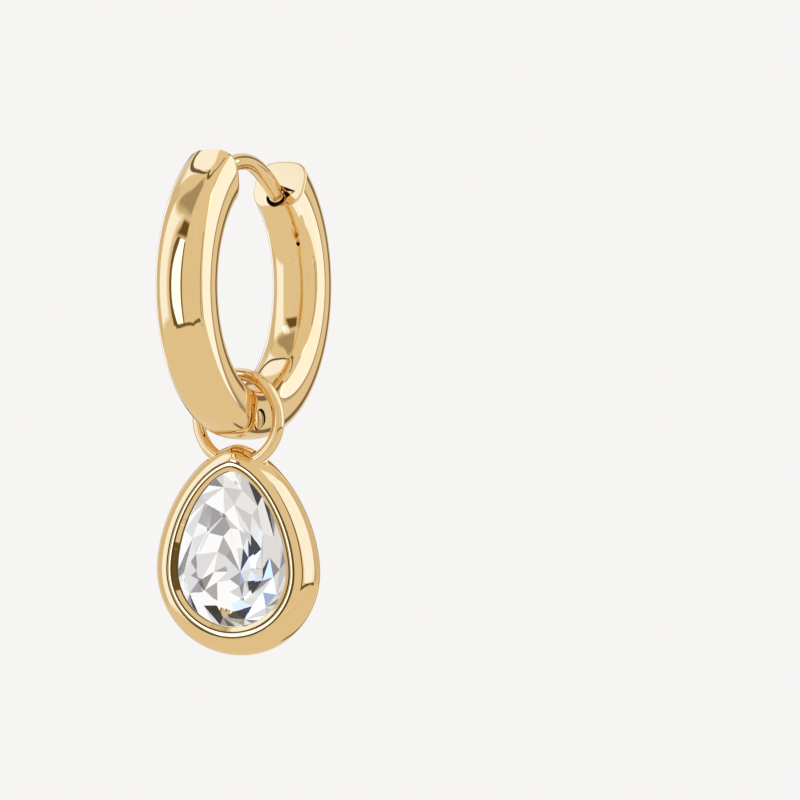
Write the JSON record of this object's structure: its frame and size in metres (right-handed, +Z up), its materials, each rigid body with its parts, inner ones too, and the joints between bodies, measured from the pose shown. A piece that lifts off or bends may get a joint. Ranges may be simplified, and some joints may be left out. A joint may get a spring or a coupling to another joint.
{
  "type": "teardrop earring",
  "caption": "Hinged round hoop earring with a curved ear post and a hanging faceted teardrop crystal in a smooth rounded metal setting.",
  "frame": {"origin": "on the ear post's centreline at its top, where the earring hangs from the ear", "axes": "+Z up; the hoop lies in the Y-Z plane with its near half toward -Y; the drop's face looks toward -Y; +X along the hinge pin"},
  "size_m": [0.0094, 0.016, 0.0261],
  "materials": {
    "polished_gold": "mirror polished gold plate",
    "clear_crystal": "cut and foiled clear crystal"
  },
  "bodies": {
    "hoop_front_body": {"hoop_front": "polished_gold", "ear_post": "polished_gold", "hinge_pin": "polished_gold"},
    "hoop_back_body": {"hoop_back": "polished_gold"},
    "ring_body": {"jump_ring": "polished_gold"},
    "drop_body": {"drop_setting": "polished_gold", "crystal": "clear_crystal"}
  },
  "joints": [
    {"name": "clasp_hinge", "type": "hinge", "parent": "hoop_front_body", "child": "hoop_back_body", "pos_m": [0, -0.00128, -0.01336], "axis": [-1, 0, 0], "range_deg": [0, 40]},
    {"name": "ring_swing", "type": "hinge", "parent": "hoop_back_body", "child": "ring_body", "pos_m": [0, -0.00092, -0.0131], "axis": [0, 1, 0], "range_deg": [-25, 25]},
    {"name": "drop_swing", "type": "hinge", "parent": "ring_body", "child": "drop_body", "pos_m": [0, -0.00092, -0.01567], "axis": [1, 0, 0], "range_deg": [-30, 30]}
  ]
}
